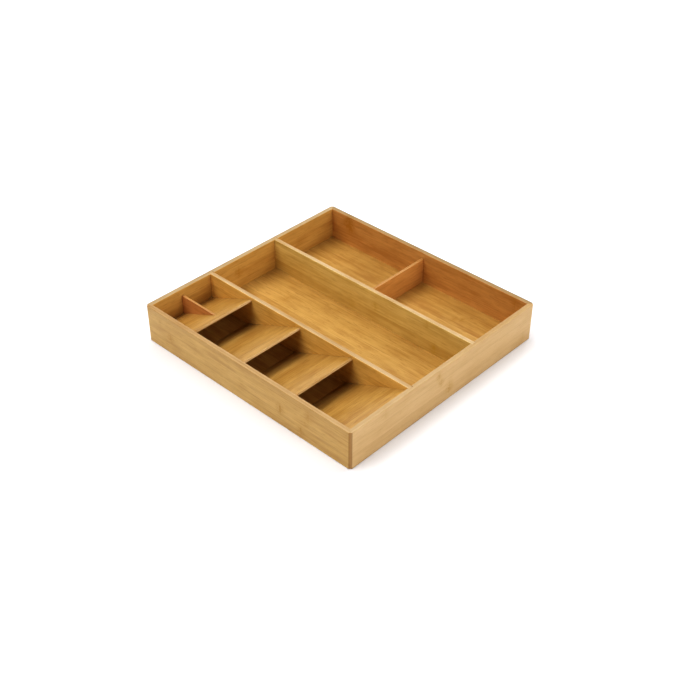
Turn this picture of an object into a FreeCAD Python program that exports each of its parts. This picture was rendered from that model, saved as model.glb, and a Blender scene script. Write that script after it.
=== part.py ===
import FreeCAD, Part
import math
import os

import Sketcher

# A bamboo tray for a kitchen drawer: four mitred walls round a base panel, two long dividers that make
# three lanes, a cross divider in the back lane, and four ramps with a small divider in the front lane.
# X runs along the lanes, Y from the front wall to the back wall, Z up. The origin is under the middle of
# the tray, on the plane that the foot pads stand on.

# Driving sizes, in millimetres
DRIVING_SIZES = {
    # Outside of the tray
    "tray_length": 400,
    "tray_width": 384,
    "wall_height": 60.5,
    "wall_thickness": 7.5,
    "corner_chamfer": 3.5,
    "edge_round": 1,
    # Base panel, held in a groove that runs round the walls
    "base_thickness": 4,
    "base_lift": 4,
    "base_groove_depth": 4,
    # Long dividers, and the lanes in front of them
    "divider_thickness": 7,
    "front_lane_width": 108.5,
    "middle_lane_width": 124,
    # How far dividers and ramps run into the boards that hold them
    "tongue_depth": 3,
    # Cross divider of the back lane, lower than the rim, and the bay to the left of it
    "cross_divider_thickness": 4.5,
    "cross_divider_drop": 10,
    "left_bay_length": 188.5,
    # Ramps of the front lane: each runs on under the crest of the one before
    "ramp_thickness": 4,
    "crest_drop": 3.5,
    "first_bay_length": 87.5,
    "ramp_overlap": 11.5,
    # Small divider that stands on the first ramp
    "small_divider_thickness": 4,
    "small_divider_drop": 10.5,
    "small_divider_seat": 1.5,
    # Foot pads under the base panel
    "foot_diameter": 13,
    "foot_proud": 0.8,
    "foot_inset": 30,
    "foot_round": 0.6,
    # Fits and cuts
    "joint_clearance": 0.1,
    "cut_overrun": 2,
}

RAMP_COUNT = 4

# Places that follow from the driving sizes
WORKED_OUT_PLACES = {
    "half_length": "=Sizes.tray_length / 2",
    "half_width": "=Sizes.tray_width / 2",
    "inner_half_length": "=half_length - Sizes.wall_thickness",
    "inner_half_width": "=half_width - Sizes.wall_thickness",
    # Heights above the plane that the tray stands on
    "base_bottom": "=Sizes.foot_proud + Sizes.base_lift",
    "floor_top": "=base_bottom + Sizes.base_thickness",
    "rim_top": "=Sizes.foot_proud + Sizes.wall_height",
    "crest_top": "=rim_top - Sizes.crest_drop",
    "cross_divider_top": "=rim_top - Sizes.cross_divider_drop",
    "small_divider_top": "=rim_top - Sizes.small_divider_drop",
    # Front and back faces of the long dividers
    "front_divider_front": "=Sizes.front_lane_width - inner_half_width",
    "front_divider_back": "=front_divider_front + Sizes.divider_thickness",
    "rear_divider_front": "=front_divider_back + Sizes.middle_lane_width",
    "rear_divider_back": "=rear_divider_front + Sizes.divider_thickness",
    # Middle of the cross divider along X
    "cross_divider_left": "=Sizes.left_bay_length - inner_half_length",
    "cross_divider_middle": "=cross_divider_left + Sizes.cross_divider_thickness / 2",
    # A board's end stops this far inside the face of the board that holds it
    "tongue_length": "=Sizes.tongue_depth - Sizes.joint_clearance",
    # Slope of the ramps, from the floor to the crest
    "first_crest": "=Sizes.first_bay_length - inner_half_length",
    "ramp_pitch": f"=(inner_half_length - first_crest) / {RAMP_COUNT - 1}",
    "ramp_run": "=ramp_pitch + Sizes.ramp_overlap",
    "ramp_slope_share": "=(crest_top - floor_top) / ramp_run",
    "ramp_length_share": "=sqrt(1 + ramp_slope_share * ramp_slope_share)",
    "ramp_upright_thickness": "=Sizes.ramp_thickness * ramp_length_share",
    "crest_end_slant": "=Sizes.ramp_thickness * ramp_slope_share / ramp_length_share",
    # The small divider: its middle, its foot at the left end wall, and its tip on the ramp
    "small_divider_middle": "=front_divider_front - Sizes.front_lane_width / 2",
    "small_divider_foot": "=max(floor_top; crest_top - Sizes.first_bay_length * ramp_slope_share)",
    "small_divider_sink": "=Sizes.small_divider_seat - Sizes.joint_clearance",
    "small_divider_tip": "=first_crest - (crest_top - small_divider_top) / ramp_slope_share",
}

# How near two heights or places have to be to count as the same, as a share of their size
SAME_SHARE = 1e-6

document = FreeCAD.newDocument("cutlery_tray")


def add_sheet(name, cells):
    """A sheet with one named cell to a row."""
    sheet = document.addObject("Spreadsheet::Sheet", name)
    for row, (alias, content) in enumerate(cells.items(), start=1):
        sheet.set(f"A{row}", alias)
        sheet.set(f"B{row}", str(content))
        sheet.setAlias(f"B{row}", alias)
    document.recompute()
    return sheet


add_sheet("Sizes", DRIVING_SIZES)
add_sheet("Places", WORKED_OUT_PLACES)

sub_parts = []


def add_body(label, x="0", y="0", z="0", turn=0):
    """An empty body whose place follows three formulas, turned about Z by some degrees."""
    body = document.addObject("PartDesign::Body", label)
    body.Label = label
    body.Placement.Rotation = FreeCAD.Rotation(FreeCAD.Vector(0, 0, 1), turn)
    body.setExpression("Placement.Base.x", x)
    body.setExpression("Placement.Base.y", y)
    body.setExpression("Placement.Base.z", z)
    sub_parts.append(body)
    return body


def attach(sketch, body, plane, forward="0", upward="0"):
    """Lays a sketch on one of the body's own planes, moved along its normal and along its upright axis."""
    origin_plane = next(part for part in body.Origin.OriginFeatures if part.Role == plane)
    sketch.AttachmentSupport = [(origin_plane, "")]
    sketch.MapMode = "FlatFace"
    sketch.setExpression("AttachmentOffset.Base.z", forward)
    sketch.setExpression("AttachmentOffset.Base.y", upward)


def pin_to_origin(sketch, line, across, upright):
    """Holds the first point of a line at two formulas, measured from the sketch's origin."""
    start = sketch.Geometry[line].StartPoint
    for direction, at, formula in (("DistanceX", start.x, across), ("DistanceY", start.y, upright)):
        index = sketch.addConstraint(Sketcher.Constraint(direction, -1, 1, line, 1, at))
        sketch.setExpression(f"Constraints[{index}]", formula)


def outline(body, name, plane, corners, forward="0", upward="0"):
    """A closed outline of straight lines whose corners are pairs of formulas."""
    sketch = body.newObject("Sketcher::SketchObject", name)
    attach(sketch, body, plane, forward, upward)
    count = len(corners)
    turns = [2 * math.pi * corner / count for corner in range(count)]
    ring = [FreeCAD.Vector(math.cos(turn), math.sin(turn), 0) for turn in turns]
    for corner in range(count):
        sketch.addGeometry(Part.LineSegment(ring[corner], ring[(corner + 1) % count]))
    for corner in range(count):
        sketch.addConstraint(Sketcher.Constraint("Coincident", corner, 2, (corner + 1) % count, 1))
    for line, (across, upright) in enumerate(corners):
        pin_to_origin(sketch, line, across, upright)
    document.recompute()
    return sketch


def rectangle(low_across, high_across, low_upright, high_upright):
    """The four corners of an upright rectangle."""
    return [
        (low_across, low_upright),
        (high_across, low_upright),
        (high_across, high_upright),
        (low_across, high_upright),
    ]


def pad(body, sketch, length, reverse=False):
    """Grows the outline into a board."""
    feature = body.newObject("PartDesign::Pad", f"{sketch.Name}_pad")
    feature.Profile = sketch
    feature.setExpression("Length", length)
    feature.Reversed = reverse
    document.recompute()
    return feature


def cut(body, sketch, length):
    """Cuts the outline out of the board, against the sketch's normal, and checks that it took wood away."""
    volume_before = body.Tip.Shape.Volume
    feature = body.newObject("PartDesign::Pocket", f"{sketch.Name}_cut")
    feature.Profile = sketch
    feature.setExpression("Length", length)
    document.recompute()
    if feature.Shape.Volume >= volume_before * (1 - SAME_SHARE):
        raise RuntimeError(f"{sketch.Name} cuts nothing")
    return feature


def round_edges(body, is_sharp, radius):
    """Rounds those edges of the board that pass the test."""
    base = body.Tip
    edges = enumerate(base.Shape.Edges, start=1)
    chosen = [f"Edge{number}" for number, edge in edges if is_sharp(edge)]
    feature = body.newObject("PartDesign::Fillet", f"{body.Name}_round")
    feature.Base = (base, chosen)
    feature.setExpression("Radius", radius)
    document.recompute()
    return feature


def same(first, second):
    return math.isclose(first, second, rel_tol=SAME_SHARE)


def long_top_edges(body):
    """Test for the edges on top of a board, other than the short ones across its ends."""
    box = body.Tip.Shape.BoundBox
    across_length = min(box.XLength, box.YLength)

    def test(edge):
        on_top = all(same(vertex.Z, box.ZMax) for vertex in edge.Vertexes)
        return on_top and not same(edge.Length, across_length)

    return test


def rim_edges(body):
    """Test for a wall's top edges, other than the mitred ones, which have one end on the inner face."""
    box = body.Tip.Shape.BoundBox

    def test(edge):
        on_top = all(same(vertex.Z, box.ZMax) for vertex in edge.Vertexes)
        ends_inside = sum(same(vertex.Y, box.YMax) for vertex in edge.Vertexes)
        return on_top and ends_inside != 1

    return test


def crest_edges(body):
    """Test for the two edges along a ramp's crest."""
    box = body.Tip.Shape.BoundBox

    def test(edge):
        along_top = all(same(vertex.Z, box.ZMax) for vertex in edge.Vertexes)
        along_end = all(same(vertex.X, box.XMax) for vertex in edge.Vertexes)
        return same(edge.Length, box.YLength) and (along_top or along_end)

    return test


def wall(label, length, x="0", y="0", turn=0):
    """A mitred wall, with X along it and Y from its outer to its inner face: rounded rim, base groove."""
    body = add_body(label, x=x, y=y, z="Sizes.foot_proud", turn=turn)
    half = f"{length} / 2"
    corners = [
        (f"Sizes.corner_chamfer - {half}", "0"),
        (f"{half} - Sizes.corner_chamfer", "0"),
        (f"{half} - Sizes.corner_chamfer / 2", "Sizes.corner_chamfer / 2"),
        (f"{half} - Sizes.wall_thickness", "Sizes.wall_thickness"),
        (f"Sizes.wall_thickness - {half}", "Sizes.wall_thickness"),
        (f"Sizes.corner_chamfer / 2 - {half}", "Sizes.corner_chamfer / 2"),
    ]
    pad(body, outline(body, f"{label}_plan", "XY_Plane", corners), "Sizes.wall_height")
    round_edges(body, rim_edges(body), "Sizes.edge_round")
    groove = rectangle(
        "Sizes.wall_thickness - Sizes.base_groove_depth",
        "Sizes.wall_thickness + Sizes.cut_overrun",
        "Sizes.base_lift - Sizes.joint_clearance",
        "Sizes.base_lift + Sizes.base_thickness + Sizes.joint_clearance",
    )
    cut(body, outline(body, f"{label}_base_groove", "YZ_Plane", groove, forward=half), length)
    return body


def housing_in_wall(body, name, middle, thickness, bottom, top):
    """An upright groove in a wall's inner face for the end of another board."""
    play = f"({thickness} / 2 + Sizes.joint_clearance)"
    corners = rectangle(
        f"{middle} - {play}",
        f"{middle} + {play}",
        "Sizes.wall_thickness - Sizes.tongue_depth",
        "Sizes.wall_thickness + Sizes.cut_overrun",
    )
    sketch = outline(body, name, "XY_Plane", corners, forward=f"{top} - Sizes.foot_proud")
    cut(body, sketch, f"{top} - {bottom}")


def long_divider(label, front_face):
    """A full-length board that stands on the base panel, level with the rim."""
    body = add_body(label, y=front_face, z="Places.floor_top")
    reach = "(Places.inner_half_length + Places.tongue_length)"
    plan = rectangle(f"-{reach}", reach, "0", "Sizes.divider_thickness")
    pad(body, outline(body, f"{label}_plan", "XY_Plane", plan), "Places.rim_top - Places.floor_top")
    round_edges(body, long_top_edges(body), "Sizes.edge_round")
    return body


def ramp_crest(number):
    """Formula for where the crest of a ramp lies along X."""
    return f"(Places.first_crest + {number - 1} * Places.ramp_pitch)"


def ramp_section(number):
    """Corners of a ramp's section: low end on top and below, then the crest end below and on top.

    The first ramp is cut upright by the left end wall, and the last one by the right end wall. The others
    land flat on the base panel, and end square at their crest.
    """
    crest = ramp_crest(number)
    low_x = f"max({crest} - Places.ramp_run; -Places.inner_half_length)"
    landing = f"{crest} - Places.ramp_run + Places.ramp_upright_thickness / Places.ramp_slope_share"
    low_x_below = f"max({landing}; -Places.inner_half_length)"
    crest_x_below = f"min({crest} + Places.crest_end_slant; Places.inner_half_length)"

    def top_at(x):
        return f"Places.crest_top - ({crest} - ({x})) * Places.ramp_slope_share"

    def bottom_at(x):
        return f"max({top_at(x)} - Places.ramp_upright_thickness; Places.floor_top)"

    return [
        (low_x, top_at(low_x)),
        (low_x_below, bottom_at(low_x_below)),
        (crest_x_below, bottom_at(crest_x_below)),
        (crest, "Places.crest_top"),
    ]


def ramp_slot(number):
    """Corners of the slot that holds the side of a ramp: its section with clearance all round."""
    low, low_below, crest_below, crest = ramp_section(number)
    play = "Sizes.joint_clearance"
    return [
        (f"{low[0]} - {play}", f"{low[1]} + {play}"),
        (f"{low[0]} - {play}", f"{low[1]} - {play}"),
        (low_below[0], f"{low_below[1]} - {play}"),
        (f"{crest_below[0]} + {play}", f"{crest_below[1]} - {play}"),
        (f"{crest[0]} + {play}", f"{crest[1]} + {play}"),
    ]


def front_wall():
    """Carries the front sides of the ramps in slanted slots."""
    body = wall("front_wall", "Sizes.tray_length", y="-Places.half_width")
    slot_bottom = "Sizes.wall_thickness - Sizes.tongue_depth"
    for number in range(1, RAMP_COUNT + 1):
        sketch = outline(
            body,
            f"front_wall_slot_{number}",
            "XZ_Plane",
            ramp_slot(number),
            forward=f"-({slot_bottom})",
            upward="-Sizes.foot_proud",
        )
        cut(body, sketch, "Sizes.tongue_depth + Sizes.cut_overrun")


def back_wall():
    """Carries one end of the cross divider."""
    body = wall("back_wall", "Sizes.tray_length", y="Places.half_width", turn=180)
    top = "(Places.cross_divider_top + Sizes.joint_clearance)"
    thickness = "Sizes.cross_divider_thickness"
    middle = "-1 * Places.cross_divider_middle"
    housing_in_wall(body, "back_wall_housing", middle, thickness, "Places.floor_top", top)


def end_wall(label, x, turn, along_sign):
    """Carries one end of both long dividers, in grooves that are open at the rim."""
    body = wall(label, "Sizes.tray_width", x=x, turn=turn)
    top = "(Places.rim_top + Sizes.cut_overrun)"
    thickness = "Sizes.divider_thickness"
    for name, face in (("front", "Places.front_divider_front"), ("rear", "Places.rear_divider_front")):
        middle = f"{along_sign} * ({face} + {thickness} / 2)"
        housing_in_wall(body, f"{label}_{name}_housing", middle, thickness, "Places.floor_top", top)
    return body


def left_end_wall():
    """Carries the wide end of the small divider as well."""
    body = end_wall("left_end_wall", "-Places.half_length", -90, "-1")
    bottom = "(Places.small_divider_foot - Sizes.joint_clearance)"
    top = "(Places.small_divider_top + Sizes.joint_clearance)"
    thickness = "Sizes.small_divider_thickness"
    middle = "-1 * Places.small_divider_middle"
    housing_in_wall(body, "left_end_wall_small_housing", middle, thickness, bottom, top)


def right_end_wall():
    end_wall("right_end_wall", "Places.half_length", 90, "1")


def base_panel():
    """A thin panel whose edges sit in the grooves of the four walls."""
    body = add_body("base_panel", z="Places.base_bottom")
    edge = "(Sizes.base_groove_depth - Sizes.joint_clearance)"
    reach_x = f"(Places.inner_half_length + {edge})"
    reach_y = f"(Places.inner_half_width + {edge})"
    plan = rectangle(f"-{reach_x}", reach_x, f"-{reach_y}", reach_y)
    pad(body, outline(body, "base_panel_plan", "XY_Plane", plan), "Sizes.base_thickness")


def front_long_divider():
    """Carries the back sides of the ramps in slanted slots."""
    body = long_divider("front_long_divider", "Places.front_divider_front")
    for number in range(1, RAMP_COUNT + 1):
        sketch = outline(
            body,
            f"front_divider_slot_{number}",
            "XZ_Plane",
            ramp_slot(number),
            upward="-Places.floor_top",
        )
        cut(body, sketch, "Sizes.tongue_depth")


def rear_long_divider():
    """Carries the other end of the cross divider, in its back face."""
    body = long_divider("rear_long_divider", "Places.rear_divider_front")
    play = "(Sizes.cross_divider_thickness / 2 + Sizes.joint_clearance)"
    corners = rectangle(
        f"Places.cross_divider_middle - {play}",
        f"Places.cross_divider_middle + {play}",
        "Sizes.divider_thickness - Sizes.tongue_depth",
        "Sizes.divider_thickness + Sizes.cut_overrun",
    )
    height = "Places.cross_divider_top + Sizes.joint_clearance - Places.floor_top"
    sketch = outline(body, "rear_divider_housing", "XY_Plane", corners, forward=height)
    cut(body, sketch, height)


def cross_divider():
    """Splits the back lane into two bays."""
    body = add_body("cross_divider", x="Places.cross_divider_middle", z="Places.floor_top")
    half = "Sizes.cross_divider_thickness / 2"
    front_end = "Places.rear_divider_back - Places.tongue_length"
    back_end = "Places.inner_half_width + Places.tongue_length"
    plan = rectangle(f"-{half}", half, front_end, back_end)
    sketch = outline(body, "cross_divider_plan", "XY_Plane", plan)
    pad(body, sketch, "Places.cross_divider_top - Places.floor_top")
    round_edges(body, long_top_edges(body), "Sizes.edge_round")


def ramp(number):
    """A sloping board across the front lane, held at both sides in slots."""
    label = f"ramp_{number}"
    body = add_body(label, y="-(Places.inner_half_width + Places.tongue_length)")
    sketch = outline(body, f"{label}_section", "XZ_Plane", ramp_section(number))
    pad(body, sketch, "Sizes.front_lane_width + 2 * Places.tongue_length", reverse=True)
    if number < RAMP_COUNT:
        round_edges(body, crest_edges(body), "min(Sizes.edge_round; Sizes.ramp_thickness / 4)")
    return body


def first_ramp():
    """The first ramp also has a shallow seat along its middle for the small divider."""
    body = ramp(1)

    def top_at(x):
        return f"Places.crest_top - (Places.first_crest - ({x})) * Places.ramp_slope_share"

    low_x = "-(Places.inner_half_length + Sizes.cut_overrun)"
    high_x = "Places.small_divider_tip + Sizes.joint_clearance"
    seat = [
        (low_x, f"{top_at(low_x)} - Sizes.small_divider_seat"),
        (high_x, f"{top_at(high_x)} - Sizes.small_divider_seat"),
        (high_x, f"{top_at(high_x)} + Sizes.cut_overrun"),
        (low_x, f"{top_at(low_x)} + Sizes.cut_overrun"),
    ]
    half = "(Sizes.small_divider_thickness / 2 + Sizes.joint_clearance)"
    middle = "(Sizes.front_lane_width / 2 + Places.tongue_length)"
    sketch = outline(body, "ramp_1_seat", "XZ_Plane", seat, forward=f"-({middle} - {half})")
    cut(body, sketch, f"2 * {half}")


def small_divider():
    """A wedge with a level top, from the left end wall down to a tip on the first ramp."""
    half = "Sizes.small_divider_thickness / 2"
    body = add_body("small_divider", y=f"Places.small_divider_middle - {half}")
    wall_face = "-Places.inner_half_length"
    tongue_end = f"{wall_face} - Places.tongue_length"
    sunk_foot = "max(Places.floor_top; Places.small_divider_foot - Places.small_divider_sink)"
    corners = [
        (tongue_end, "Places.small_divider_top"),
        (tongue_end, "Places.small_divider_foot"),
        (wall_face, "Places.small_divider_foot"),
        (wall_face, sunk_foot),
        ("Places.small_divider_tip", "Places.small_divider_top - Places.small_divider_sink"),
        ("Places.small_divider_tip", "Places.small_divider_top"),
    ]
    sketch = outline(body, "small_divider_section", "XZ_Plane", corners)
    pad(body, sketch, "Sizes.small_divider_thickness", reverse=True)
    round_edges(body, long_top_edges(body), "Sizes.edge_round")


def foot(label, x_sign, y_sign):
    """A round pad under the base panel, a little proud of the walls, with a rounded lower edge."""
    x = f"{x_sign} * (Places.inner_half_length - Sizes.foot_inset)"
    y = f"{y_sign} * (Places.inner_half_width - Sizes.foot_inset)"
    body = add_body(label, x=x, y=y)
    sketch = body.newObject("Sketcher::SketchObject", f"{label}_plan")
    attach(sketch, body, "XY_Plane")
    circle = Part.Circle(FreeCAD.Vector(0, 0, 0), FreeCAD.Vector(0, 0, 1), DRIVING_SIZES["foot_diameter"] / 2)
    sketch.addGeometry(circle)
    sketch.addConstraint(Sketcher.Constraint("Coincident", 0, 3, -1, 1))
    index = sketch.addConstraint(Sketcher.Constraint("Diameter", 0, DRIVING_SIZES["foot_diameter"]))
    sketch.setExpression(f"Constraints[{index}]", "Sizes.foot_diameter")
    pad(body, sketch, "Places.base_bottom")
    lowest = body.Tip.Shape.BoundBox.ZMin

    def is_lower_edge(edge):
        return all(vertex.Z == lowest for vertex in edge.Vertexes)

    round_edges(body, is_lower_edge, "Sizes.foot_round")


def check():
    """Stops if any object failed, or any piece isn't one sound solid."""
    for thing in document.Objects:
        if {"Invalid", "Error"} & set(thing.State):
            raise RuntimeError(f"{thing.Name} failed: {thing.State}")
    for piece in sub_parts:
        if piece.Shape.isNull() or not piece.Shape.isValid() or len(piece.Shape.Solids) != 1:
            raise RuntimeError(f"{piece.Label} isn't one sound solid")


front_wall()
back_wall()
left_end_wall()
right_end_wall()
base_panel()
front_long_divider()
rear_long_divider()
cross_divider()
first_ramp()
for ramp_number in range(2, RAMP_COUNT + 1):
    ramp(ramp_number)
small_divider()
for end, end_sign in (("left", "-1"), ("right", "1")):
    foot(f"foot_front_{end}", end_sign, "-1")
    foot(f"foot_back_{end}", end_sign, "1")

document.recompute()
check()
os.makedirs("parts", exist_ok=True)
for piece in sub_parts:
    piece.Shape.exportStep(f"parts/{piece.Label}.step")
    print(f"{piece.Label}: {piece.Shape.Volume:.0f} mm3")
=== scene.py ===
import math
from collections import namedtuple

import bmesh
import bpy
from mathutils import Matrix, Vector


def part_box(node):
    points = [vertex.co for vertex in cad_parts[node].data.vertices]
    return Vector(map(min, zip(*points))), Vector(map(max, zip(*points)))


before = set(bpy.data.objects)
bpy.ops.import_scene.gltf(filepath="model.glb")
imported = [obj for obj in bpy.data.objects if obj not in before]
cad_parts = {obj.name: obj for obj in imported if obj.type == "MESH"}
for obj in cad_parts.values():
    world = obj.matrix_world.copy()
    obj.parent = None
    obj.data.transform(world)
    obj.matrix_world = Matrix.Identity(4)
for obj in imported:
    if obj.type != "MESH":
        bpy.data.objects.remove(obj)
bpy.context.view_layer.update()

# A bamboo tray for a kitchen drawer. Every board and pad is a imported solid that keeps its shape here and
# gets its finish: laminated bamboo strips under satin lacquer, and rubber for the pads.
# X runs along the lanes, Y from the front wall to the back wall, Z up. Lengths are in metres.

# Values that belong together: a light's angles are in degrees, and colours are red, green and blue
Light = namedtuple("Light", "azimuth elevation spread strength")
Streaks = namedtuple("Streaks", "length width detail")
Strips = namedtuple("Strips", "start width count")
Joint = namedtuple("Joint", "along across size strength")
Seam = namedtuple("Seam", "across width start end")
RimShade = namedtuple("RimShade", "corner share")
FarFace = namedtuple("FarFace", "colour side")
EdgeTurn = namedtuple("EdgeTurn", "colour start end")

# Boards of the tray, in the order that also seeds the chance in their bamboo
RAMP_COUNT = 4
RAMPS = tuple(f"ramp_{number}" for number in range(1, RAMP_COUNT + 1))
BOARDS = (
    "front_wall",
    "back_wall",
    "left_end_wall",
    "right_end_wall",
    "front_long_divider",
    "rear_long_divider",
    "cross_divider",
    "small_divider",
    "base_panel",
    *RAMPS,
)

# Grain of the boards: the axes along the fibres, across the strips and through the board
LONG_BOARD_GRAIN = "XZY"
END_BOARD_GRAIN = "YZX"
BASE_GRAIN = "XYZ"
RAMP_GRAIN = "YXZ"

# Slope of the ramps, which their grain follows
RAMP_TILT = math.radians(23.88)

# Camera, aimed close to the middle of the tray's footprint
CAMERA_AZIMUTH = math.radians(43.51)
CAMERA_ELEVATION = math.radians(37.07)
CAMERA_DISTANCE = 1.6385
CAMERA_SLIDE = -0.00015
CAMERA_RISE = -0.00216
CAMERA_LENS_MM = 59.52
SENSOR_WIDTH_MM = 36.0
VIEW_GAMMA = 0.80

# Studio floor, white and glowing a little, so that the shadows on it stay pale
FLOOR_SIZE = 12.0
FLOOR_COLOUR = (0.83, 0.83, 0.855, 1.0)
FLOOR_ROUGHNESS = 0.9
FLOOR_GLOW = 0.16

# Studio surroundings, dim overhead and bright along the horizon. The heights of the bright band and of its
# fade are sines of the elevation.
SURROUND_COLOUR = (1.0, 1.0, 1.0, 1.0)
SURROUND_STRENGTH = 0.05
HORIZON_STRENGTH = 1.05
HORIZON_HEIGHT = 0.05
HORIZON_FADE = 0.09

# Broad soft lights, by the place that they shine from: the azimuth runs from the front towards the right
LIGHTS = {
    "top_light": Light(-90.0, 63.0, 36.0, 1.25),
    "front_light": Light(-20.0, 52.0, 45.0, 1.80),
    "right_light": Light(90.0, 17.0, 28.0, 1.36),
    "back_light": Light(180.0, 45.0, 50.0, 1.85),
    "left_light": Light(-128.0, 10.0, 34.0, 0.46),
}

# Bamboo: the strips and layers that the boards are laminated from, and the glue between them
STRIP_WIDTH = 0.020
LAYER_DEPTH = 0.0025
GLUE_LINE_WIDTH = 0.0004

# Bamboo: every strip starts at a chance place in a cane, and every next board further along it
CANE_LENGTH = 3.0
BOARD_STRETCH = 1.7

# Bamboo: what keeps the chance numbers of the layers and joints apart from those of the strips
LAYER_SEED = 50.0
JOINT_SEED = 17.0

# Noise: how much of a pattern each finer one laid over it has
FINER_SHARE = 0.55

# Bamboo: patterns drawn out along the fibres, from soft clouds to fine dashes
CLOUDS = Streaks(0.045, 0.0160, 2.0)
BANDS = Streaks(0.16, 0.0055, 2.0)
FIBRES = Streaks(0.040, 0.0018, 3.0)
VEINS = Streaks(0.080, 0.0030, 1.0)
FLECKS = Streaks(0.014, 0.0016, 1.0)
DASHES = Streaks(0.010, 0.0006, 1.0)

# Bamboo: the limits between which a pattern about 0 turns into a mark
VEIN_LIMITS = (0.09, 0.20)
FLECK_LIMITS = (0.09, 0.22)
DASH_LIMITS = (0.10, 0.24)

# Bamboo: how far each pattern moves the tone, from 0, deep, to 1, pale, and how much of its tint a mark has
MIDDLE_TONE = 0.5
STRIP_SHARE = 0.34
CLOUD_SHARE = 1.2
BAND_SHARE = 1.0
FIBRE_SHARE = 0.9
LAYER_SHARE = 0.5
FLECK_SHARE = 0.40
DASH_SHARE = 0.25
VEIN_SHARE = 0.30
GLUE_SHARE = 0.35
JOINT_SHARE = 1.00

# Bamboo: the joints of the cane, soft ragged patches with a fine line across the fibres
JOINT_LENGTH = 0.0105
JOINT_WIDTH = 0.0130
JOINT_CORE = 0.10
JOINT_LINE = 0.0018
JOINT_LINE_SHARE = 0.35
JOINT_RAG = 0.0030
RAG_LIMIT = 0.15
RAG_SHARES = (0.25, 0.75)

# Bamboo: faint joints, one to a stretch and clear of its ends, where chance is above a least number
JOINT_SPACING = 0.30
JOINT_CLEARANCE = 0.25
FAINT_JOINT_CHANCE = 0.4
FAINT_JOINT_STRENGTH = 0.5

# Joints that stand out: place along the fibres, place across the strips, size and strength
FRONT_WALL_JOINTS = (
    Joint(-0.148, 0.027, 1.0, 0.9),
    Joint(-0.169, 0.045, 0.8, 0.5),
    Joint(0.074, 0.028, 1.1, 1.0),
    Joint(0.126, 0.043, 1.2, 0.7),
    Joint(0.112, 0.012, 1.1, 1.0),
)
RIGHT_WALL_JOINTS = (
    Joint(-0.020, 0.051, 0.9, 0.8),
    Joint(-0.015, 0.038, 0.8, 0.9),
    Joint(0.003, 0.020, 1.3, 1.0),
    Joint(0.170, 0.010, 1.2, 0.6),
)
BACK_WALL_JOINTS = (
    Joint(-0.155, 0.046, 1.7, 2.2),
    Joint(0.172, 0.052, 1.3, 0.9),
)
LEFT_WALL_JOINTS = (
    # A dark patch on the inner face, drawn as a joint
    Joint(-0.021, 0.038, 1.2, 0.9),
)
REAR_DIVIDER_JOINTS = (
    Joint(-0.028, 0.020, 1.1, 0.6),
    Joint(0.018, 0.038, 1.1, 0.7),
    Joint(0.131, 0.019, 1.2, 1.0),
)
BASE_JOINTS = (
    Joint(0.097, 0.142, 0.9, 0.8),
    Joint(0.107, 0.149, 0.7, 0.8),
    Joint(-0.120, 0.010, 1.0, 0.6),
    Joint(0.030, -0.030, 1.0, 0.6),
)
RAMP_JOINTS = {
    "ramp_3": (Joint(-0.084, 0.100, 1.0, 1.0),),
}

# Seams that stand out: place across the strips, width, and the two ends along the fibres
FRONT_WALL_SEAMS = (
    # The first, widest line is a soft darker band along the top of the face, just under the rim
    Seam(0.0590, 0.0070, -0.22, 0.22),
    Seam(0.0545, 0.0012, -0.22, 0.22),
    Seam(0.0500, 0.0012, 0.12, 0.22),
    Seam(0.0455, 0.0012, 0.13, 0.22),
    Seam(0.0375, 0.0010, 0.13, 0.22),
    Seam(0.0300, 0.0010, 0.12, 0.22),
    Seam(0.0190, 0.0016, 0.13, 0.22),
)

# How these seams fade at their ends, and turn faint where the fibres are deep in tone
SEAM_FADE = 0.020
SEAM_FAINT_LIMITS = (-0.2, 0.1)
SEAM_FAINTEST = 0.3

# Tones of single strips from the lowest up, about 0, and where the strips of the rear divider lie
FRONT_WALL_TONES = (0.0, 0.10, -0.05)
RIGHT_WALL_TONES = (-0.12, 0.08, 0.10)
# The rear divider's lowest strip is deep as painted shade near the floor, and its top strip paler
REAR_DIVIDER_TONES_AND_SHADE = (-0.90, 0.0, 0.35)
# The ramps' sixth strip, at the crest of each ramp that has six, is pale as a painted sheen
RAMP_TONES_AND_CREST_SHEEN = (0.0, 0.15, -0.15, 0.10, -0.10, 0.55)
REAR_DIVIDER_STRIPS = Strips(0.0105, 0.0170, 3)

# Figure of each board: the strength of its clouds, bands, fibres, veins, flecks and dashes
FRONT_WALL_FIGURE = 0.90
BACK_WALL_FIGURE = 1.10
LEFT_WALL_FIGURE = 0.90
RIGHT_WALL_FIGURE = 0.45
FRONT_DIVIDER_FIGURE = 1.00
REAR_DIVIDER_FIGURE = 0.90
SHORT_DIVIDER_FIGURE = 0.80
BASE_FIGURE = 1.15
RAMP_FIGURE = 1.15

# Mean colours of the boards, before strips and fibres. Those of the back wall, the left end wall, the cross
# divider and the small divider carry painted shade, deeper and more orange, on every face but their far face
FRONT_WALL_COLOUR = (0.564, 0.350, 0.101)
RIGHT_WALL_COLOUR = (0.576, 0.380, 0.160)
LEFT_WALL_SHADED_COLOUR = (0.601, 0.346, 0.086)
BACK_WALL_SHADED_COLOUR = (0.630, 0.324, 0.090)
# Painted light on every face of the front long divider but its far face
FRONT_DIVIDER_LIT_COLOUR = (0.790, 0.478, 0.120)
REAR_DIVIDER_COLOUR = (0.709, 0.499, 0.154)
CROSS_DIVIDER_SHADED_COLOUR = (0.625, 0.308, 0.081)
SMALL_DIVIDER_SHADED_COLOUR = (0.598, 0.272, 0.082)
SHORT_DIVIDER_FAR_COLOUR = (0.600, 0.365, 0.110)
RAMP_COLOUR = (0.497, 0.285, 0.069)
BASE_COLOUR = (0.555, 0.325, 0.079)

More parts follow.
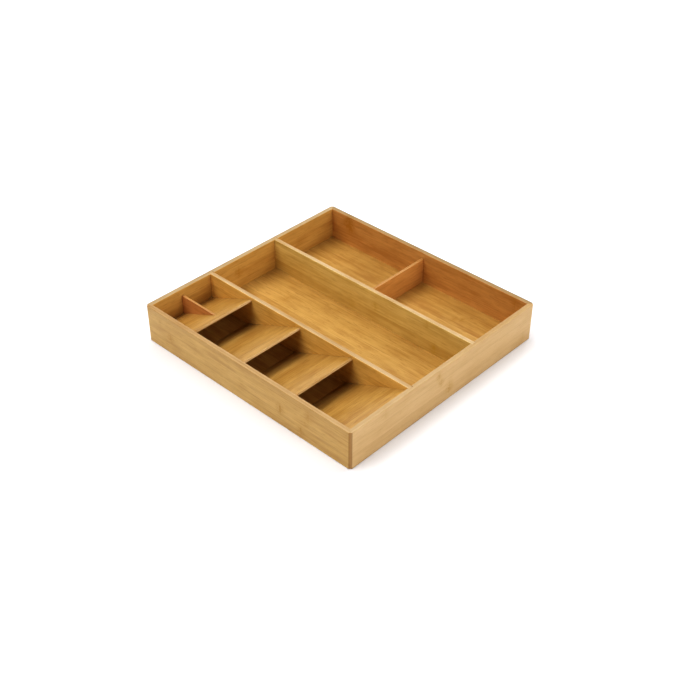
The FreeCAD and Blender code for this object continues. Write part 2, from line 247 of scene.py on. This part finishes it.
# Far faces, which show the plain mean colour of their board, and the side of the board that they look to
BACK_WALL_OUTSIDE = FarFace(FRONT_WALL_COLOUR, 1.0)
LEFT_WALL_OUTSIDE = FarFace(RIGHT_WALL_COLOUR, -1.0)
FRONT_DIVIDER_BACK = FarFace((0.610, 0.415, 0.140), 1.0)
CROSS_DIVIDER_LEFT = FarFace(SHORT_DIVIDER_FAR_COLOUR, -1.0)
SMALL_DIVIDER_BACK = FarFace(SHORT_DIVIDER_FAR_COLOUR, 1.0)

# Colours of the sanded long edges, which are less yellow than the faces, and the colours that two of them
# turn to between two places along the fibres. Toward the corner of the front wall and the right end wall
# both rims are paler, a painted highlight: the front rim's turn colour and the right rim's edge colour.
FRONT_EDGE_COLOUR = (0.543, 0.348, 0.141)
FRONT_EDGE_HIGHLIGHT_TURN = EdgeTurn((0.593, 0.407, 0.189), -0.10, -0.02)
RIGHT_EDGE_HIGHLIGHT_COLOUR = (0.644, 0.479, 0.262)
RIGHT_EDGE_TURN = EdgeTurn((0.599, 0.411, 0.182), -0.04, 0.08)
BACK_EDGE_COLOUR = (0.457, 0.291, 0.103)
LEFT_EDGE_COLOUR = (0.523, 0.367, 0.172)
RAMP_EDGE_COLOUR = (0.645, 0.425, 0.185)
DIVIDER_EDGE_COLOUR = (0.645, 0.470, 0.249)
THIN_EDGE_COLOUR = (0.589, 0.325, 0.098)

# Tints that turn a mean colour into that of a strip, a mark, an end or the painted shade along a rim's outer
# edge
DEEP_TINT = (0.80, 0.70, 0.52)
PALE_TINT = (1.16, 1.24, 1.45)
FLECK_TINT = (0.70, 0.58, 0.42)
VEIN_TINT = (0.70, 0.60, 0.42)
GLUE_TINT = (0.60, 0.48, 0.35)
JOINT_TINT = (0.78, 0.66, 0.28)
END_TINT = (0.48, 0.335, 0.135)
RIM_SHADE_TINT = (0.52, 0.56, 0.56)

# How squarely a face has to look along an axis to count as a far face, an edge, an end or a rim
FAR_FACE_LIMITS = (0.30, 0.70)
EDGE_LIMITS = (0.70, 1.00)
END_LIMITS = (0.35, 0.80)
END_SHARE = 0.8
RIM_LIMITS = (0.30, 0.90)

# Painted shade along the outer edge of a rim, as deep as the outermost ply: its depth, the part of it that
# is dark throughout, and for each of two walls the corner of the board's box that it lies at and its share
# of the tint
RIM_SHADE_DEPTH = 0.0024
RIM_SHADE_DARK_PART = 0.7
LOW_CORNER, HIGH_CORNER = 0, 1
BACK_WALL_RIM_SHADE = RimShade(HIGH_CORNER, 1.0)
LEFT_WALL_RIM_SHADE = RimShade(LOW_CORNER, 0.35)

# Satin lacquer: its roughness, what fibres and flecks add to it, and the relief under it
LACQUER_ROUGHNESS = 0.40
FIBRE_ROUGHNESS = 0.25
FLECK_ROUGHNESS = 0.10
DASH_RELIEF = -0.5
GLUE_RELIEF = -0.8
JOINT_RELIEF = 0.3
BAMBOO_RELIEF_STRENGTH = 0.25
BAMBOO_RELIEF_DEPTH = 0.00025

# Rubber of the pads: speckles to the metre, and the colours, gloss and relief that they vary between
SPECKLE_SCALE = 2200.0
SPECKLE_DETAIL = 2.0
SPECKLE_COLOUR_LIMIT = 0.25
SPECKLE_GLOSS_LIMIT = 0.2
RUBBER_DARK = (0.018, 0.018, 0.018, 1.0)
RUBBER_LIGHT = (0.05, 0.048, 0.045, 1.0)
RUBBER_ROUGHNESS = (0.65, 0.85)
RUBBER_RELIEF_STRENGTH = 0.3
RUBBER_RELIEF_DEPTH = 0.0001

# Places of the colour sockets on a Mix node, which has sockets of the same names for other kinds of values
MIX_SHARE, MIX_FIRST, MIX_SECOND, MIX_RESULT = 0, 6, 7, 2


class Finish:
    """The nodes of one material. Wherever a node takes a value, it takes another node's output as well."""

    def __init__(self, name):
        self.material = bpy.data.materials.new(name)
        self.material.use_nodes = True
        self.tree = self.material.node_tree
        self.shader = self.tree.nodes["Principled BSDF"]
        self.place = self.tree.nodes.new("ShaderNodeTexCoord")

    def feed(self, socket, source):
        """Links another node's output to a socket, or sets a plain value on it."""
        if isinstance(source, bpy.types.NodeSocket):
            self.tree.links.new(source, socket)
        else:
            socket.default_value = source

    def node(self, kind, inputs, **settings):
        """A node of one kind, with its settings and its inputs by name or place."""
        made = self.tree.nodes.new(kind)
        for setting, value in settings.items():
            setattr(made, setting, value)
        for socket, source in inputs.items():
            self.feed(made.inputs[socket], source)
        return made

    def maths(self, operation, *values):
        made = self.node("ShaderNodeMath", dict(enumerate(values)), operation=operation)
        return made.outputs["Value"]

    def add(self, first, second, weight=1.0):
        """The first value plus the second one times a weight."""
        return self.maths("MULTIPLY_ADD", second, weight, first)

    def apart(self, first, second):
        """How far two values lie apart."""
        return self.maths("ABSOLUTE", self.maths("SUBTRACT", first, second))

    def centred(self, value):
        """A value from 0 to 1, moved to lie about 0."""
        return self.maths("SUBTRACT", value, 0.5)

    def equals(self, value, number):
        """1 where a value is this whole number, and 0 elsewhere."""
        return self.maths("COMPARE", value, float(number), 0.5)

    def ease(self, value, low, high, low_result=0.0, high_result=1.0):
        """Eases a value from one result to another between two limits."""
        inputs = {
            "Value": value,
            "From Min": low,
            "From Max": high,
            "To Min": low_result,
            "To Max": high_result,
        }
        return self.node("ShaderNodeMapRange", inputs, interpolation_type="SMOOTHSTEP").outputs["Result"]

    def fade(self, value, low, high):
        """Eases from 1 at the low limit to 0 at the high one."""
        return self.ease(value, low, high, 1.0, 0.0)

    def tint(self, colour, shares):
        """Multiplies a colour by one share for red, one for green and one for blue."""
        inputs = {0: colour, 1: shares}
        return self.node("ShaderNodeVectorMath", inputs, operation="MULTIPLY").outputs["Vector"]

    def mix(self, share, first, second):
        """Mixes two colours, with the given share of the second."""
        made = self.tree.nodes.new("ShaderNodeMix")
        made.data_type = "RGBA"
        self.feed(made.inputs[MIX_SHARE], share)
        self.feed(made.inputs[MIX_FIRST], first)
        self.feed(made.inputs[MIX_SECOND], second)
        return made.outputs[MIX_RESULT]

    def vector(self, x, y, z):
        return self.node("ShaderNodeCombineXYZ", {"X": x, "Y": y, "Z": z}).outputs["Vector"]

    def axes(self, vector):
        return self.node("ShaderNodeSeparateXYZ", {"Vector": vector}).outputs

    def chance(self, x, y):
        """Three chance numbers from 0 to 1 that hold for one pair of whole numbers."""
        inputs = {"Vector": self.vector(x, y, 0.0)}
        noise = self.node("ShaderNodeTexWhiteNoise", inputs, noise_dimensions="3D")
        return self.node("ShaderNodeSeparateColor", {"Color": noise.outputs["Color"]}).outputs

    def noise(self, vector, scale, detail):
        """Soft noise about 0."""
        inputs = {"Vector": vector, "Scale": scale, "Detail": detail, "Roughness": FINER_SHARE}
        made = self.node("ShaderNodeTexNoise", inputs, noise_dimensions="3D")
        return self.centred(made.outputs["Fac"])

    def bump(self, height, strength, distance):
        made = self.node("ShaderNodeBump", {"Strength": strength, "Distance": distance, "Height": height})
        self.feed(self.shader.inputs["Normal"], made.outputs["Normal"])


def dress(node, material):
    """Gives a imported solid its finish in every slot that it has."""
    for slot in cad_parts[node].material_slots:
        slot.material = material


class Bamboo(Finish):
    """Laminated bamboo for one board.

    The grain names the axes along the fibres, across the strips and through the board. The figure is the
    strength of the patterns in it. Joints and seams are those that stand out. Tones, where chance doesn't
    choose them, are those of the strips from the lowest up; on the rear divider they paint shade at the
    bottom, and on the ramps a sheen at the crest. Strips, where they don't fill the board evenly, are their
    first place, width and number. The darker outer edge of the rim, where given, is painted shade. A far
    face is the colour of the one face that isn't like the other, and the side that it looks to; it is the
    plain colour, while the board's own colour carries painted shade on its other faces, and on the front
    long divider painted light. An edge turn is the colour that the edges turn to along the fibres, and the
    two places that they turn between; on the front and right walls it paints a highlight on the rims.
    """

    def __init__(self, node, grain, colour, edge_colour, figure, joints=(), seams=(), tones=(), strips=None,
                 rim_shade=None, far_face=None, edge_turn=None, tilt=0.0):
        super().__init__(f"bamboo_{node}")
        self.colour = colour
        self.seed = BOARDS.index(node) + 1
        self.figure = figure
        self.lay_grain(grain, tilt)
        self.lay_strips(strips or self.even_strips(node, grain, tilt))
        self.tone_strips(tones)
        self.draw_fibres()
        self.draw_seams(seams)
        self.draw_joints(joints)
        self.mix_colours()
        if far_face:
            self.mix_far_face(far_face)
        self.mix_edges(edge_colour, edge_turn)
        if rim_shade:
            outer_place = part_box(node)[rim_shade.corner]["XYZ".index(grain[2])]
            self.mix_rim_shade(outer_place, rim_shade.share)
        self.feed(self.shader.inputs["Base Color"], self.shade)
        self.set_gloss()
        dress(node, self.material)

    def tinted(self, tint):
        """The board's mean colour under a tint."""
        return (*(part * share for part, share in zip(self.colour, tint)), 1.0)

    def recoloured(self, colour):
        """The board's strips and marks in another mean colour."""
        return self.tint(self.shade, tuple(new / old for new, old in zip(colour, self.colour)))

    def lay_grain(self, grain, tilt):
        """Finds the place along, across and through the grain, and how squarely a face looks along each."""
        turn = (0.0, tilt, 0.0)
        place = self.node("ShaderNodeMapping", {"Vector": self.place.outputs["Object"], "Rotation": turn})
        place = self.axes(place.outputs["Vector"])
        self.along, self.across, self.through = (place[axis] for axis in grain)
        facing = {"Vector": self.place.outputs["Normal"], "Rotation": turn}
        facing = self.axes(self.node("ShaderNodeMapping", facing, vector_type="VECTOR").outputs["Vector"])
        self.end_facing = self.maths("ABSOLUTE", facing[grain[0]])
        self.edge_facing = self.maths("ABSOLUTE", facing[grain[1]])
        self.face_facing = facing[grain[2]]

    def even_strips(self, node, grain, tilt):
        """Whole strips of about the usual width that fill the board."""
        turn = Matrix.Rotation(tilt, 3, "Y")
        low, high = (turn @ Vector(corner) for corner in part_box(node))
        axis = "XYZ".index(grain[1])
        count = max(1, round((high[axis] - low[axis]) / STRIP_WIDTH))
        return Strips(low[axis], (high[axis] - low[axis]) / count, count)

    def lay_strips(self, strips):
        """Divides the board into strips side by side."""
        self.strip_width = strips.width
        strip_place = self.maths("DIVIDE", self.maths("SUBTRACT", self.across, strips.start), strips.width)
        strip = self.maths("MAXIMUM", self.maths("FLOOR", strip_place), 0.0)
        self.strip = self.maths("MINIMUM", strip, strips.count - 1.0)
        self.in_strip = self.maths("SUBTRACT", strip_place, self.strip)

    def tone_strips(self, tones):
        """Gives each strip its tone and its own stretch of cane, and each layer a tone as well."""
        chances = self.chance(self.strip, float(self.seed))
        self.strip_tone = 0.0 if tones else self.centred(chances["Red"])
        for strip, tone in enumerate(tones):
            self.strip_tone = self.add(self.strip_tone, self.equals(self.strip, strip), tone)
        strip_along = self.add(self.along, chances["Green"], CANE_LENGTH)
        self.fibre_along = self.add(strip_along, BOARD_STRETCH * self.seed)
        layer = self.maths("FLOOR", self.maths("DIVIDE", self.through, LAYER_DEPTH))
        self.layer_tone = self.centred(self.chance(layer, self.seed + LAYER_SEED)["Red"])

    def grain_noise(self, along, length, width, detail):
        """Noise about 0 of this length along the fibres and this width across and through them."""
        drawn = self.vector(
            self.maths("DIVIDE", along, length),
            self.maths("DIVIDE", self.across, width),
            self.maths("DIVIDE", self.through, width),
        )
        return self.noise(drawn, 1.0, detail)

    def draw_fibres(self):
        """Soft clouds, bands and fibres about 0, and flecks, dashes and veins from 0 to 1."""
        self.clouds = self.grain_noise(self.fibre_along, *CLOUDS)
        self.bands = self.grain_noise(self.fibre_along, *BANDS)
        self.fibres = self.grain_noise(self.fibre_along, *FIBRES)
        self.flecks = self.ease(self.grain_noise(self.fibre_along, *FLECKS), *FLECK_LIMITS)
        self.dashes = self.ease(self.grain_noise(self.fibre_along, *DASHES), *DASH_LIMITS)
        self.veins = self.ease(self.grain_noise(self.fibre_along, *VEINS), *VEIN_LIMITS)

    def draw_seams(self, seams):
        """Thin glue lines between the strips, and other lines where a seam stands out."""
        from_edge = self.maths("MINIMUM", self.in_strip, self.maths("SUBTRACT", 1.0, self.in_strip))
        from_edge = self.maths("ABSOLUTE", from_edge)
        self.glue_line = self.fade(from_edge, 0.0, GLUE_LINE_WIDTH / self.strip_width)
        for seam in seams:
            line = self.fade(self.apart(self.across, seam.across), 0.0, seam.width)
            for share in (
                self.ease(self.along, seam.start, seam.start + SEAM_FADE),
                self.fade(self.along, seam.end - SEAM_FADE, seam.end),
                self.ease(self.fibres, *SEAM_FAINT_LIMITS, SEAM_FAINTEST, 1.0),
            ):
                line = self.maths("MULTIPLY", line, share)
            self.glue_line = self.maths("MAXIMUM", self.glue_line, line)

    def joint_patch(self, off_along, off_across, size):
        """A soft ragged patch with a fine line through it, from the distances to its middle."""
        off_along = self.add(off_along, self.ripple, JOINT_RAG)
        off_middle = self.vector(
            self.maths("DIVIDE", off_along, JOINT_LENGTH * size),
            self.maths("DIVIDE", off_across, JOINT_WIDTH * size),
            0.0,
        )
        far = self.node("ShaderNodeVectorMath", {0: off_middle}, operation="LENGTH").outputs["Value"]
        patch = self.fade(far, JOINT_CORE, 1.0)
        line = self.fade(self.maths("ABSOLUTE", off_along), 0.0, JOINT_LINE)
        return self.maths("MULTIPLY", patch, self.add(self.rag, line, JOINT_LINE_SHARE))

    def chance_joints(self):
        """Faint joints at one chance place in every stretch of each strip."""
        stretch_place = self.maths("DIVIDE", self.fibre_along, JOINT_SPACING)
        stretch = self.maths("FLOOR", stretch_place)
        chances = self.chance(self.maths("ADD", stretch, JOINT_SEED), self.strip)
        middle = self.add(JOINT_CLEARANCE, chances["Red"], 1.0 - 2 * JOINT_CLEARANCE)
        off_along = self.maths("SUBTRACT", self.maths("SUBTRACT", stretch_place, stretch), middle)
        off_along = self.maths("MULTIPLY", off_along, JOINT_SPACING)
        off_across = self.maths("MULTIPLY", self.centred(self.in_strip), self.strip_width)
        strength = self.ease(chances["Green"], FAINT_JOINT_CHANCE, 1.0, 0.0, FAINT_JOINT_STRENGTH)
        return self.maths("MULTIPLY", self.joint_patch(off_along, off_across, 1.0), strength)

    def draw_joints(self, joints):
        """Faint joints all over the board, and the joints that stand out."""
        self.ripple = self.grain_noise(self.along, 2 * JOINT_RAG, JOINT_RAG, 1.0)
        self.rag = self.ease(self.ripple, -RAG_LIMIT, RAG_LIMIT, *RAG_SHARES)
        self.joints = self.chance_joints()
        for joint in joints:
            off_along = self.maths("SUBTRACT", self.along, joint.along)
            off_across = self.maths("SUBTRACT", self.across, joint.across)
            patch = self.joint_patch(off_along, off_across, joint.size)
            patch = self.maths("MULTIPLY", patch, joint.strength)
            self.joints = self.maths("MAXIMUM", self.joints, patch)

    def mix_colours(self):
        """Shades the board from deep to pale by its patterns, and lays its marks over that."""
        tone = self.add(MIDDLE_TONE, self.strip_tone, STRIP_SHARE)
        for pattern, share in (
            (self.clouds, CLOUD_SHARE),
            (self.bands, BAND_SHARE),
            (self.fibres, FIBRE_SHARE),
        ):
            tone = self.add(tone, pattern, share * self.figure)
        tone = self.add(tone, self.maths("MULTIPLY", self.layer_tone, self.edge_facing), LAYER_SHARE)
        shades = self.node("ShaderNodeValToRGB", {"Fac": tone})
        deep, pale = shades.color_ramp.elements
        deep.color = self.tinted(DEEP_TINT)
        pale.color = self.tinted(PALE_TINT)
        shades.color_ramp.elements.new(MIDDLE_TONE).color = (*self.colour, 1.0)
        self.shade = shades.outputs["Color"]
        for mark, share, tint in (
            (self.flecks, FLECK_SHARE * self.figure, FLECK_TINT),
            (self.dashes, DASH_SHARE * self.figure, FLECK_TINT),
            (self.veins, VEIN_SHARE * self.figure, VEIN_TINT),
            (self.glue_line, GLUE_SHARE, GLUE_TINT),
            (self.joints, JOINT_SHARE, JOINT_TINT),
        ):
            self.shade = self.mix(self.maths("MULTIPLY", mark, share), self.shade, self.tinted(tint))

    def mix_far_face(self, far_face):
        """Gives the face that looks to one side of the board the plain mean colour, while the other faces
        keep the board's colour, which carries painted shade, and on the front long divider painted light.
        """
        far = self.ease(self.maths("MULTIPLY", self.face_facing, far_face.side), *FAR_FACE_LIMITS)
        self.shade = self.mix(far, self.shade, self.recoloured(far_face.colour))

    def mix_edges(self, edge_colour, edge_turn):
        """Long edges are sanded and less yellow; end grain drinks the lacquer and comes out darker. Along
        the fibres the edges may turn to another colour, which on the front and right rims paints a
        highlight.
        """
        edge_shade = self.recoloured(edge_colour)
        if edge_turn:
            turned = self.ease(self.along, edge_turn.start, edge_turn.end)
            edge_shade = self.mix(turned, edge_shade, self.recoloured(edge_turn.colour))
        self.shade = self.mix(self.ease(self.edge_facing, *EDGE_LIMITS), self.shade, edge_shade)
        end = self.ease(self.end_facing, *END_LIMITS, 0.0, END_SHARE)
        self.shade = self.mix(end, self.shade, self.tinted(END_TINT))

    def mix_rim_shade(self, outer_place, share):
        """Darkens the outer edge of the rim, as deep as the outermost ply, with painted shade."""
        depth = self.apart(self.through, outer_place)
        rim_shade = self.ease(depth, RIM_SHADE_DARK_PART * RIM_SHADE_DEPTH, RIM_SHADE_DEPTH, share, 0.0)
        rim_shade = self.maths("MULTIPLY", rim_shade, self.ease(self.edge_facing, *RIM_LIMITS))
        self.shade = self.mix(rim_shade, self.shade, self.tint(self.shade, RIM_SHADE_TINT))

    def set_gloss(self):
        """Satin lacquer, a little duller along the flecks, over fibres that can just be felt."""
        roughness = self.add(LACQUER_ROUGHNESS, self.fibres, FIBRE_ROUGHNESS)
        roughness = self.add(roughness, self.flecks, FLECK_ROUGHNESS)
        self.feed(self.shader.inputs["Roughness"], roughness)
        height = self.add(self.fibres, self.dashes, DASH_RELIEF)
        height = self.add(height, self.glue_line, GLUE_RELIEF)
        height = self.add(height, self.joints, JOINT_RELIEF)
        self.bump(height, BAMBOO_RELIEF_STRENGTH, BAMBOO_RELIEF_DEPTH)


class Rubber(Finish):
    """Dull dark rubber with a fine moulded texture."""

    def __init__(self, name):
        super().__init__(name)
        speckle = self.noise(self.place.outputs["Object"], SPECKLE_SCALE, SPECKLE_DETAIL)
        share = self.ease(speckle, -SPECKLE_COLOUR_LIMIT, SPECKLE_COLOUR_LIMIT)
        self.feed(self.shader.inputs["Base Color"], self.mix(share, RUBBER_DARK, RUBBER_LIGHT))
        roughness = self.ease(speckle, -SPECKLE_GLOSS_LIMIT, SPECKLE_GLOSS_LIMIT, *RUBBER_ROUGHNESS)
        self.feed(self.shader.inputs["Roughness"], roughness)
        self.bump(speckle, RUBBER_RELIEF_STRENGTH, RUBBER_RELIEF_DEPTH)


def dress_walls():
    Bamboo("front_wall", LONG_BOARD_GRAIN, FRONT_WALL_COLOUR, FRONT_EDGE_COLOUR, FRONT_WALL_FIGURE,
           joints=FRONT_WALL_JOINTS, seams=FRONT_WALL_SEAMS, tones=FRONT_WALL_TONES,
           edge_turn=FRONT_EDGE_HIGHLIGHT_TURN)
    Bamboo("back_wall", LONG_BOARD_GRAIN, BACK_WALL_SHADED_COLOUR, BACK_EDGE_COLOUR, BACK_WALL_FIGURE,
           joints=BACK_WALL_JOINTS, rim_shade=BACK_WALL_RIM_SHADE, far_face=BACK_WALL_OUTSIDE)
    Bamboo("left_end_wall", END_BOARD_GRAIN, LEFT_WALL_SHADED_COLOUR, LEFT_EDGE_COLOUR, LEFT_WALL_FIGURE,
           joints=LEFT_WALL_JOINTS, rim_shade=LEFT_WALL_RIM_SHADE, far_face=LEFT_WALL_OUTSIDE)
    Bamboo("right_end_wall", END_BOARD_GRAIN, RIGHT_WALL_COLOUR, RIGHT_EDGE_HIGHLIGHT_COLOUR, RIGHT_WALL_FIGURE,
           joints=RIGHT_WALL_JOINTS, tones=RIGHT_WALL_TONES, edge_turn=RIGHT_EDGE_TURN)


def dress_dividers():
    Bamboo("front_long_divider", LONG_BOARD_GRAIN, FRONT_DIVIDER_LIT_COLOUR, DIVIDER_EDGE_COLOUR,
           FRONT_DIVIDER_FIGURE, far_face=FRONT_DIVIDER_BACK)
    Bamboo("rear_long_divider", LONG_BOARD_GRAIN, REAR_DIVIDER_COLOUR, DIVIDER_EDGE_COLOUR,
           REAR_DIVIDER_FIGURE, joints=REAR_DIVIDER_JOINTS, tones=REAR_DIVIDER_TONES_AND_SHADE,
           strips=REAR_DIVIDER_STRIPS)
    Bamboo("cross_divider", END_BOARD_GRAIN, CROSS_DIVIDER_SHADED_COLOUR, THIN_EDGE_COLOUR,
           SHORT_DIVIDER_FIGURE, far_face=CROSS_DIVIDER_LEFT)
    Bamboo("small_divider", LONG_BOARD_GRAIN, SMALL_DIVIDER_SHADED_COLOUR, THIN_EDGE_COLOUR,
           SHORT_DIVIDER_FIGURE, far_face=SMALL_DIVIDER_BACK)


def dress_base():
    Bamboo("base_panel", BASE_GRAIN, BASE_COLOUR, RAMP_EDGE_COLOUR, BASE_FIGURE, joints=BASE_JOINTS)


def dress_ramps():
    for ramp in RAMPS:
        Bamboo(ramp, RAMP_GRAIN, RAMP_COLOUR, RAMP_EDGE_COLOUR, RAMP_FIGURE,
               joints=RAMP_JOINTS.get(ramp, ()), tones=RAMP_TONES_AND_CREST_SHEEN, tilt=RAMP_TILT)


def dress_feet():
    pad = Rubber("rubber_pad")
    for depth in ("front", "back"):
        for side in ("left", "right"):
            dress(f"foot_{depth}_{side}", pad.material)


def add_floor():
    """A plain white floor that runs out of the picture on all sides."""
    mesh = bpy.data.meshes.new("studio_floor")
    shape = bmesh.new()
    bmesh.ops.create_grid(shape, x_segments=1, y_segments=1, size=FLOOR_SIZE / 2)
    shape.to_mesh(mesh)
    shape.free()
    floor = bpy.data.objects.new("studio_floor", mesh)
    bpy.context.scene.collection.objects.link(floor)
    paint = Finish("white_floor")
    paint.feed(paint.shader.inputs["Base Color"], FLOOR_COLOUR)
    paint.feed(paint.shader.inputs["Roughness"], FLOOR_ROUGHNESS)
    paint.feed(paint.shader.inputs["Emission Color"], FLOOR_COLOUR)
    paint.feed(paint.shader.inputs["Emission Strength"], FLOOR_GLOW)
    mesh.materials.append(paint.material)


def towards(azimuth, elevation):
    """The way from the tray to a place at this azimuth, from the front towards the right, and elevation."""
    return Vector((
        math.sin(azimuth) * math.cos(elevation),
        -math.cos(azimuth) * math.cos(elevation),
        math.sin(elevation),
    ))


def add_surroundings():
    """A white studio, bright along the horizon and dim above it, so that the lights shape the tray."""
    world = bpy.data.worlds.new("studio")
    world.use_nodes = True
    tree = world.node_tree
    sky = tree.nodes["Background"]
    sky.inputs["Color"].default_value = SURROUND_COLOUR
    way = tree.nodes.new("ShaderNodeTexCoord")
    height = tree.nodes.new("ShaderNodeSeparateXYZ")
    tree.links.new(way.outputs["Generated"], height.inputs["Vector"])
    strength = tree.nodes.new("ShaderNodeMapRange")
    strength.interpolation_type = "SMOOTHSTEP"
    strength.inputs["From Min"].default_value = HORIZON_HEIGHT
    strength.inputs["From Max"].default_value = HORIZON_HEIGHT + HORIZON_FADE
    strength.inputs["To Min"].default_value = HORIZON_STRENGTH
    strength.inputs["To Max"].default_value = SURROUND_STRENGTH
    tree.links.new(height.outputs["Z"], strength.inputs["Value"])
    tree.links.new(strength.outputs["Result"], sky.inputs["Strength"])
    bpy.context.scene.world = world


def add_soft_light(name, light):
    """One broad light, far enough away to light the whole floor evenly."""
    sun = bpy.data.lights.new(name, "SUN")
    sun.angle = math.radians(light.spread)
    sun.energy = light.strength
    lamp = bpy.data.objects.new(name, sun)
    lamp.rotation_mode = "QUATERNION"
    away = towards(math.radians(light.azimuth), math.radians(light.elevation))
    lamp.rotation_quaternion = (-away).to_track_quat("-Z", "Y")
    bpy.context.scene.collection.objects.link(lamp)


def add_lights():
    for name, light in LIGHTS.items():
        add_soft_light(name, light)


def add_camera():
    """Looks down on the corner between the front wall and the right end wall."""
    back = towards(CAMERA_AZIMUTH, CAMERA_ELEVATION)
    right = Vector((math.cos(CAMERA_AZIMUTH), math.sin(CAMERA_AZIMUTH), 0.0))
    up = back.cross(right)
    lens = bpy.data.cameras.new("camera")
    lens.lens = CAMERA_LENS_MM
    lens.sensor_width = SENSOR_WIDTH_MM
    camera = bpy.data.objects.new("camera", lens)
    camera.location = right * CAMERA_SLIDE + up * CAMERA_RISE + back * CAMERA_DISTANCE
    camera.rotation_mode = "QUATERNION"
    camera.rotation_quaternion = (-back).to_track_quat("-Z", "Y")
    bpy.context.scene.collection.objects.link(camera)
    bpy.context.scene.camera = camera


dress_walls()
dress_dividers()
dress_base()
dress_ramps()
dress_feet()
add_floor()
add_surroundings()
add_lights()
add_camera()
bpy.context.scene.view_settings.view_transform = "Standard"
bpy.context.scene.view_settings.gamma = VIEW_GAMMA
